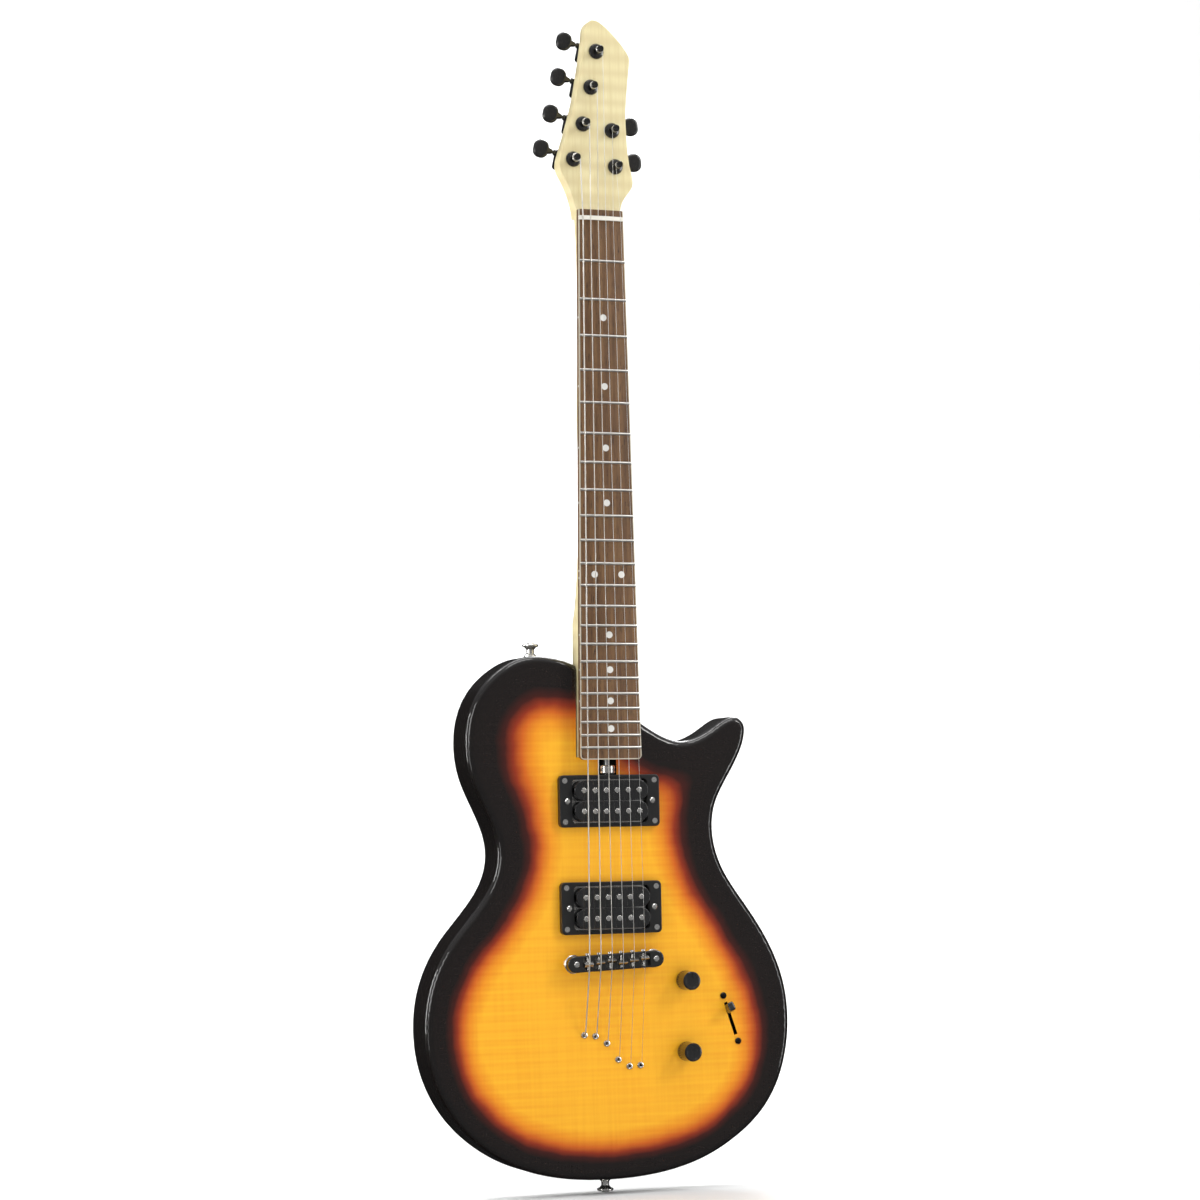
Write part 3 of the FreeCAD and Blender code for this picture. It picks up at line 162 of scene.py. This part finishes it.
# ------------------------------------------------------------------ finishes
NICKEL = metal("nickel_plate", (0.88, 0.86, 0.82), 0.25)
DARK_NICKEL = metal("black_nickel", (0.13, 0.127, 0.122), 0.14)
FRET = metal("nickel_silver", (0.90, 0.88, 0.83), 0.30)
STEEL = metal("plain_steel", (0.55, 0.55, 0.56), 0.32)
PLAIN = metal("string_plain", (0.92, 0.91, 0.88), 0.36)
WOUND = metal("string_wound", (0.86, 0.83, 0.77), 0.36)
BLACK_METAL = plastic("black_plating", (0.016, 0.015, 0.014), 0.20, coat=0.6)
BLACK_PLASTIC = plastic("black_plastic", (0.012, 0.012, 0.012), 0.34)
BLACK_GLOSS = plastic("black_gloss", (0.010, 0.010, 0.010), 0.16, coat=0.8)
PEARL = plastic("pearl_dot", (0.80, 0.79, 0.75), 0.22, coat=0.4)
BONE = plastic("white_bone", (0.86, 0.83, 0.74), 0.30, coat=0.2)


def wrap_wire(m, pitch):
    """The wrap of a wound string as fine ridges across its length."""
    t = m.node_tree
    wave = add(t, "ShaderNodeTexWave", wave_type="BANDS", bands_direction="Z", Distortion=0.0,
               Scale=2 * math.pi / (20 * pitch))
    link(t, coords(t, (1, 1, 1)), wave.inputs["Vector"])
    bump(t, t.nodes["Principled BSDF"], wave.outputs["Fac"], 0.5, 0.00012)


wrap_wire(WOUND, WRAP_PITCH)


def maple_material():
    """Pale maple: grain along the neck, faint cross flame, a thin satin coat."""
    m, t, b = new_material("maple")
    setup(b, Coat_Weight=0.25, Coat_Roughness=0.18, Roughness=0.38)
    grain = noise(t, coords(t, (1.0, 1.0, 0.035)), 420.0, 4.0, 0.6, 0.3)
    broad = noise(t, coords(t, (1.0, 1.0, 0.12)), 60.0, 3.0)
    wave = add(t, "ShaderNodeTexWave", wave_type="BANDS", bands_direction="Z", Scale=22.0, Distortion=5.0,
               Detail=3.0)
    wave.inputs["Detail Scale"].default_value = 0.7
    link(t, coords(t, (0.35, 0.35, 1.0)), wave.inputs["Vector"])
    base = ramp(t, grain, [(0.25, (0.70, 0.58, 0.29)), (0.55, (0.80, 0.70, 0.40)),
                           (0.8, (0.84, 0.75, 0.46))])
    base = mix(t, maths(t, "MULTIPLY", broad, 0.35), base, (0.86, 0.77, 0.48))
    base = mix(t, maths(t, "MULTIPLY", wave.outputs["Fac"], 0.60), base, (0.70, 0.58, 0.31))
    link(t, base, b.inputs["Base Color"])
    bump(t, b, grain, 0.05, 0.0002)
    return m


def rosewood_material():
    """Oiled rosewood: long dark streaks and open pores, with a painted highlight round the edge of the
    playing face.
    """
    m, t, b = new_material("rosewood")
    streak = noise(t, coords(t, (1.0, 1.0, 0.05)), 260.0, 5.0, 0.65, 0.4)
    broad = noise(t, coords(t, (1.0, 1.0, 0.10)), 55.0, 3.0)
    pores = noise(t, coords(t, (1.0, 1.0, 0.07)), 1500.0, 2.0, 0.5)
    base = ramp(t, streak, [(0.28, (0.040, 0.020, 0.011)), (0.48, (0.120, 0.058, 0.024)),
                            (0.68, (0.205, 0.108, 0.042))])
    base = mix(t, maths(t, "MULTIPLY", broad, 0.45), base, (0.215, 0.110, 0.042))
    pit = maths(t, "GREATER_THAN", pores, 0.63)
    base = mix(t, maths(t, "MULTIPLY", pit, 0.75), base, (0.018, 0.009, 0.006))
    # painted highlight: a thin pale line round the edge of the playing face and its rounded end, in place of
    # light caught on the rolled edge
    split = add(t, "ShaderNodeSeparateXYZ")
    link(t, coords(t, (1, 1, 1)), split.inputs[0])
    side = maths(t, "SUBTRACT", maths(t, "MULTIPLY_ADD", split.outputs["Z"], -BOARD_TAPER, BOARD_HALF),
                 maths(t, "ABSOLUTE", split.outputs["X"]))
    inset = maths(t, "SMOOTH_MIN", side, maths(t, "ADD", split.outputs["Z"], BOARD_END), 0.004)
    # mask of the painted edge highlight
    rim = maths(t, "MULTIPLY", maths(t, "LESS_THAN", inset, EDGE_HIGHLIGHT_WIDTH),
                maths(t, "LESS_THAN", split.outputs["Y"], 0.0022))
    base = mix(t, rim, base, (0.52, 0.47, 0.37))
    link(t, base, b.inputs["Base Color"])
    link(t, maths(t, "MULTIPLY_ADD", streak, 0.15, 0.36), b.inputs["Roughness"])
    bump(t, b, maths(t, "SUBTRACT", streak, maths(t, "MULTIPLY", pit, 0.5)), 0.18, 0.0003)
    return m


def burst_material():
    """Sunburst lacquer over flamed maple. The attribute burst is the depth in from the rim."""
    m, t, b = new_material("sunburst_lacquer")
    setup(b, Coat_Weight=1.0, Coat_Roughness=0.03, Roughness=0.45, IOR=1.5, Specular_IOR_Level=0.12)
    at = add(t, "ShaderNodeAttribute", attribute_name="burst")
    depth = at.outputs["Fac"]
    cloud = noise(t, coords(t, (1, 1, 1)), 34.0, 2.0)
    depth = maths(t, "ADD", depth, maths(t, "MULTIPLY_ADD", cloud, 0.10, -0.05))
    lacquer = ramp(t, depth, [(0.0, (0.0055, 0.0035, 0.003)), (0.34, (0.008, 0.004, 0.003)),
                              (0.44, (0.050, 0.006, 0.003)), (0.53, (0.27, 0.030, 0.006)),
                              (0.62, (0.60, 0.130, 0.010)), (0.75, (0.82, 0.31, 0.014)),
                              (0.93, (0.93, 0.47, 0.022))])
    # flame: wavy bands across the grain, crossed by fine vertical grain lines
    warp = noise(t, coords(t, (1.0, 1.0, 0.6)), 14.0, 3.0, 0.5)
    figure = []
    for scale, squeeze, twist in ((34.0, 0.16, 7.0), (74.0, 0.10, 11.0)):
        wave = add(t, "ShaderNodeTexWave", wave_type="BANDS", bands_direction="Z", Scale=scale,
                   Distortion=twist, Detail=2.0)
        wave.inputs["Detail Scale"].default_value = 0.22
        wave.inputs["Detail Roughness"].default_value = 0.4
        link(t, coords(t, (squeeze, squeeze, 1.0)), wave.inputs["Vector"])
        figure.append(wave.outputs["Fac"])
    bands = maths(t, "MULTIPLY_ADD", figure[1], 0.5, maths(t, "MULTIPLY", figure[0], 0.6))
    flame = maths(t, "MULTIPLY", bands, maths(t, "MULTIPLY_ADD", warp, 1.6, -0.15, clamp=True))
    grain = noise(t, coords(t, (1.0, 1.0, 0.03)), 520.0, 3.0, 0.6)
    cross = noise(t, coords(t, (0.05, 1.0, 1.0)), 480.0, 2.0, 0.5)
    shade = maths(t, "MULTIPLY_ADD", flame, 0.44, 0.0)
    base = mix(t, shade, lacquer, mix(t, 1.0, lacquer, (0.90, 0.62, 0.42), "MULTIPLY"))
    line = maths(t, "MULTIPLY", maths(t, "SUBTRACT", 0.62, grain, clamp=True), 0.55)
    base = mix(t, line, base, mix(t, 1.0, base, (0.80, 0.55, 0.35), "MULTIPLY"))
    line2 = maths(t, "MULTIPLY", maths(t, "SUBTRACT", 0.58, cross, clamp=True), 0.5)
    base = mix(t, line2, base, mix(t, 1.0, base, (0.86, 0.68, 0.5), "MULTIPLY"))
    link(t, base, b.inputs["Base Color"])
    return m


MAPLE = maple_material()
ROSEWOOD = rosewood_material()
BURST = burst_material()

# ------------------------------------------------------------------ body with its burst
# outline of the body in X and Z, millimetres, as in the part's source
RIM = [
    (-20.0, -397.2), (-30.4, -391.8), (-43.0, -387.6), (-60.6, -385.2), (-78.0, -387.2), (-94.0, -395.0),
    (-108.5, -407.0), (-119.5, -422.0), (-126.5, -441.0), (-128.6, -460.0), (-124.5, -490.0),
    (-115.0, -513.0), (-105.0, -536.0), (-101.0, -555.5), (-105.8, -580.0), (-124.5, -608.0),
    (-144.0, -631.5), (-158.0, -655.0), (-166.5, -681.0), (-169.0, -708.0), (-166.0, -736.0),
    (-157.5, -761.0), (-143.0, -785.0), (-121.0, -807.0), (-92.0, -825.0), (-55.0, -836.6), (0.0, -841.2),
    (52.0, -836.4), (87.0, -826.0), (114.0, -811.5), (138.0, -792.0), (154.5, -769.0), (165.0, -740.0),
    (168.7, -708.0), (165.0, -675.0), (151.0, -639.0), (127.5, -602.5), (108.5, -573.0), (100.4, -546.0),
    (102.5, -518.0), (114.5, -494.0), (126.5, -473.0), (132.4, -456.0), (131.4, -444.6), (124.0, -439.4),
    (112.0, -442.6), (101.4, -449.6), (90.0, -456.0), (78.7, -459.8), (67.5, -460.4), (56.4, -457.4),
    (45.4, -451.7), (34.5, -444.8), (20.0, -436.5)]


def rim_samples(step=2.0):
    pts = np.array(RIM)
    out = []
    for a, b in zip(pts, pts[1:]):
        n = max(1, int(np.linalg.norm(b - a) / step))
        for k in range(n):
            out.append(a + (b - a) * k / n)
    return np.array(out) / 1000.0


def rim_depth(xz):
    """Soft distance in from the rim, in metres: corners such as the horn read as nearer the edge."""
    rim = rim_samples()
    soft = 0.007
    d = np.sqrt(((xz[:, None, :] - rim[None, :, :]) ** 2).sum(-1))
    near = d.min(1)
    s = np.exp(-(d - near[:, None]) / soft).sum(1)
    straight = math.sqrt(2 * math.pi * soft * 0.025) / 0.002
    return near - soft * np.log(np.maximum(s, 1e-9) / straight) * 0.9


def soft_normals(me, limit=40.0):
    """Corner normals weighted by face area, so that flats stay flat beside their rounded edges."""
    nl, npoly = len(me.loops), len(me.polygons)
    vert = np.empty(nl, np.int32)
    me.loops.foreach_get("vertex_index", vert)
    area = np.empty(npoly)
    me.polygons.foreach_get("area", area)
    normal = np.empty(npoly * 3)
    me.polygons.foreach_get("normal", normal)
    normal = normal.reshape(-1, 3)
    total = np.empty(npoly, np.int32)
    me.polygons.foreach_get("loop_total", total)
    poly = np.repeat(np.arange(npoly), total)
    order = np.argsort(vert, kind="stable")
    cuts = np.flatnonzero(np.diff(vert[order])) + 1
    out = np.zeros((nl, 3))
    cosine = math.cos(math.radians(limit))
    for group in np.split(order, cuts):
        n = normal[poly[group]]
        near = (n @ n.T) > cosine
        out[group] = near @ (n * area[poly[group]][:, None])
    out /= np.maximum(np.linalg.norm(out, axis=1), 1e-12)[:, None]
    me.normals_split_custom_set(out.tolist())


def build_body():
    me = nodes["body"].data.copy()
    me.name = "body_lacquered"
    bm = bmesh.new()
    bm.from_mesh(me)
    bmesh.ops.remove_doubles(bm, verts=bm.verts, dist=1e-6)

    def front_faces():
        return [f for f in bm.faces if all(abs(v.co.y - FRONT_Y) < 1e-5 for v in f.verts)]
    step = 0.006
    for axis, lo, hi in (((1, 0, 0), -0.168, 0.168), ((0, 0, 1), -0.840, -0.386)):
        k = lo
        while k < hi:
            fs = front_faces()
            es = {e for f in fs for e in f.edges}
            vs = {v for f in fs for v in f.verts}
            bmesh.ops.bisect_plane(bm, geom=list(fs) + list(es) + list(vs), dist=1e-6,
                                   plane_co=Vector(axis) * k, plane_no=Vector(axis))
            k += step
    bm.normal_update()
    layer = bm.loops.layers.float.new("burst")
    fs = front_faces()
    vs = list({v for f in fs for v in f.verts})
    at = np.array([(v.co.x, v.co.z) for v in vs])
    spread = np.interp(at[:, 1], (-0.84, -0.74, -0.62, -0.54, -0.45), (1.42, 1.30, 1.05, 0.92, 0.84))
    right = np.clip((at[:, 0] - 0.02) / 0.10, 0, 1)
    spread = spread * (1 - 0.20 * right * np.interp(at[:, 1], (-0.78, -0.66), (0.2, 1.0)))
    depth = rim_depth(at) * spread
    value = {v: float(x) for v, x in zip(vs, np.clip(depth / BURST_UNIT, 0, 1.3))}
    for f in fs:
        for lp in f.loops:
            lp[layer] = value[lp.vert]
    bm.to_mesh(me)
    bm.free()
    me.materials.clear()
    me.materials.append(BURST)
    for p in me.polygons:
        p.use_smooth = True
        p.material_index = 0
    soft_normals(me)
    ob = bpy.data.objects.new("body_lacquered", me)
    bpy.context.scene.collection.objects.link(ob)
    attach(ob, "instrument")
    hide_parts("body")


build_body()


# ------------------------------------------------------------------ coil springs under the pickup rings
def coils(name, z0, top=0.0133, bottom=0.0188, turns=7, steps=20, ring=8,
          radius=0.0021, wire=0.00025):
    """Two coils beside one pickup, fixed helices from top to bottom."""
    verts, faces = [], []
    for x0 in (-HEIGHT_SCREW_X, HEIGHT_SCREW_X):
        first = len(verts)
        count = turns * steps + 1
        for k in range(count):
            a = 2 * math.pi * k / steps
            y = top + (bottom - top) * k / (count - 1)
            for q in range(ring):
                b = 2 * math.pi * q / ring
                r = radius + wire * math.cos(b)
                verts.append((x0 + r * math.cos(a), y + wire * math.sin(b), z0 + r * math.sin(a)))
        for k in range(count - 1):
            for q in range(ring):
                i, j = first + k * ring + q, first + k * ring + (q + 1) % ring
                faces.append((i, i + ring, j + ring, j))
        last = first + (count - 1) * ring
        faces.append(tuple(range(first, first + ring)))
        faces.append(tuple(reversed(range(last, last + ring))))
    me = bpy.data.meshes.new(name)
    me.from_pydata(verts, [], faces)
    me.materials.append(STEEL)
    for p in me.polygons:
        p.use_smooth = len(p.vertices) == 4
    ob = bpy.data.objects.new(name, me)
    bpy.context.scene.collection.objects.link(ob)
    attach(ob, "instrument")
    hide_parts("height_springs")
    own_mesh(ob)


coils("neck_pickup_coils", NECK_PICKUP_Z)
coils("bridge_pickup_coils", BRIDGE_PICKUP_Z)

# ------------------------------------------------------------------ finishes on the CAD nodes
LOOK = {"neck": MAPLE, "fingerboard": ROSEWOOD, "nut": BONE, "frets": FRET, "position_dots": PEARL,
        "truss_rod": STEEL, "truss_wheel": NICKEL, "tuner_housings": BLACK_METAL,
        "tuner_bushings": BLACK_METAL, "wood_screws": NICKEL, "bridge_base": DARK_NICKEL,
        "saddle_screws": NICKEL, "bridge_posts": NICKEL, "bridge_inserts": NICKEL,
        "string_ferrules": NICKEL, "pickup_rings": BLACK_PLASTIC, "neck_pickup_bobbins": BLACK_GLOSS,
        "bridge_pickup_bobbins": BLACK_GLOSS, "neck_pickup_poles": NICKEL,
        "bridge_pickup_poles": NICKEL, "neck_pickup_plate": NICKEL, "bridge_pickup_plate": NICKEL,
        "machine_screws": NICKEL, "potentiometers": STEEL, "volume_knob": BLACK_GLOSS,
        "tone_knob": BLACK_GLOSS, "switch_frame": STEEL, "switch_lever": BLACK_GLOSS,
        "output_jack": NICKEL, "control_cover": BLACK_PLASTIC, "strap_buttons": NICKEL,
        "strap_screws": NICKEL, "neck_screws": NICKEL, "neck_ferrules": NICKEL}
for i in range(1, 7):
    LOOK["tuner_key_%d" % i] = BLACK_METAL
    LOOK["tuner_post_%d" % i] = DARK_NICKEL
    LOOK["saddle_%d" % i] = NICKEL
    LOOK["string_%d" % i] = WOUND if i > 3 else PLAIN
BLACK_SCREW = metal("black_oxide", (0.03, 0.03, 0.03), 0.3)
for name, ob in nodes.items():
    if name in ("body", "height_springs"):
        continue
    ob.data.materials.clear()
    ob.data.materials.append(LOOK[name])
    for p in ob.data.polygons:
        p.material_index = 0
    if name == "machine_screws":
        # the two at the switch are blackened
        ob.data.materials.append(BLACK_SCREW)
        for p in ob.data.polygons:
            p.material_index = 1 if p.center.x > 0.09 else 0

# ------------------------------------------------------------------ floor, light, camera
def backdrop():
    """A pale sweep: floor, a wide curve and a wall."""
    prof = [(-6.0, 0.0), (2.2, 0.0)]
    prof += [(2.2 + 1.2 * math.sin(a), 1.2 - 1.2 * math.cos(a)) for a in np.linspace(0.1, math.pi / 2, 14)]
    prof += [(3.4, 6.0)]
    verts, faces = [], []
    for y, z in prof:
        verts += [(-7.0, y, z + FLOOR_Z), (7.0, y, z + FLOOR_Z)]
    for k in range(len(prof) - 1):
        faces.append((2 * k, 2 * k + 1, 2 * k + 3, 2 * k + 2))
    me = bpy.data.meshes.new("sweep")
    me.from_pydata(verts, [], faces)
    for p in me.polygons:
        p.use_smooth = True
    ob = bpy.data.objects.new("sweep", me)
    bpy.context.scene.collection.objects.link(ob)
    m, t, b = new_material("pale_floor")
    setup(b, Roughness=0.75, Base_Color=(0.88, 0.88, 0.875, 1.0))
    me.materials.append(m)
    ob.visible_glossy = False


backdrop()


def area(name, loc, target, sx, sy, power, colour=(1, 1, 1)):
    d = bpy.data.lights.new(name, "AREA")
    d.shape = "RECTANGLE"
    d.size, d.size_y, d.energy, d.color = sx, sy, power, colour
    o = bpy.data.objects.new(name, d)
    o.location = loc
    o.rotation_euler = (Vector(target) - Vector(loc)).to_track_quat("-Z", "Y").to_euler()
    bpy.context.scene.collection.objects.link(o)


area("key", (2.2, -2.0, 1.5), (0, 0, -0.35), 1.0, 1.3, 47, (1.0, 0.985, 0.96))
area("fill", (-2.9, -1.5, 0.5), (0, 0, -0.45), 0.5, 2.0, 20)
area("top", (0.0, -0.9, 2.6), (0, 0, -0.3), 1.6, 1.2, 22)
area("rim_strip", (-2.3, 1.1, -0.15), (-0.1, 0.03, -0.55), 0.16, 1.5, 30)
area("side_strip", (2.3, -1.8, -0.35), (0, 0, -0.4), 0.45, 1.9, 16)
area("left_strip", (-2.6, -0.9, -0.3), (0, 0, -0.4), 0.30, 1.9, 9)
area("behind", (1.5, 2.7, 1.9), (0, 0, -0.35), 0.9, 0.9, 40)
area("wall_wash", (0.0, 1.2, 2.6), (0, 3.2, -0.2), 3.5, 1.0, 110)
world = bpy.data.worlds.new("studio")
bpy.context.scene.world = world
world.use_nodes = True
wt = world.node_tree
# brighter in front of the object and overhead, dim behind it
direction = add(wt, "ShaderNodeTexCoord").outputs["Generated"]
axes = add(wt, "ShaderNodeSeparateXYZ")
link(wt, direction, axes.inputs[0])
ahead = add(wt, "ShaderNodeMapRange")
for key, value in (("From Min", 0.30), ("From Max", -0.80), ("To Min", 0.015), ("To Max", 0.22)):
    ahead.inputs[key].default_value = value
link(wt, axes.outputs["Y"], ahead.inputs["Value"])
over = add(wt, "ShaderNodeMapRange")
for key, value in (("From Min", 0.3), ("From Max", 0.9), ("To Min", 0.0), ("To Max", 0.6)):
    over.inputs[key].default_value = value
link(wt, axes.outputs["Z"], over.inputs["Value"])
light = maths(wt, "ADD", ahead.outputs["Result"], over.outputs["Result"])
# the camera sees an even pale grey all round
seen = add(wt, "ShaderNodeLightPath").outputs["Is Camera Ray"]
gap = maths(wt, "SUBTRACT", 0.86, light)
link(wt, maths(wt, "MULTIPLY_ADD", seen, gap, light), wt.nodes["Background"].inputs["Strength"])
wt.nodes["Background"].inputs["Color"].default_value = (0.96, 0.975, 1.0, 1)

cam_data = bpy.data.cameras.new("camera")
cam_data.sensor_width = 36.0
cam_data.lens = 93.5
cam_data.clip_end = 50.0
cam = bpy.data.objects.new("camera", cam_data)
bpy.context.scene.collection.objects.link(cam)
yaw, pitch, roll = -0.353, -0.074, -0.019     # radians
Ry = Matrix(((math.cos(yaw), math.sin(yaw), 0), (-math.sin(yaw), math.cos(yaw), 0), (0, 0, 1)))
Base = Matrix(((1, 0, 0), (0, 0, -1), (0, 1, 0)))
Rp = Matrix(((1, 0, 0), (0, math.cos(pitch), -math.sin(pitch)), (0, math.sin(pitch), math.cos(pitch))))
Rr = Matrix(((math.cos(roll), -math.sin(roll), 0), (math.sin(roll), math.cos(roll), 0), (0, 0, 1)))
R = Rr @ Rp @ Base @ Ry
rows = [Vector(R[0]), -Vector(R[1]), -Vector(R[2])]
rot = Matrix((rows[0], rows[1], rows[2])).transposed()
cam.matrix_world = Matrix.Translation((-0.9495, -2.5551, -0.5388)) @ rot.to_4x4()
bpy.context.scene.camera = cam

view = bpy.context.scene.view_settings
view.view_transform = "Standard"
view.look = "None"
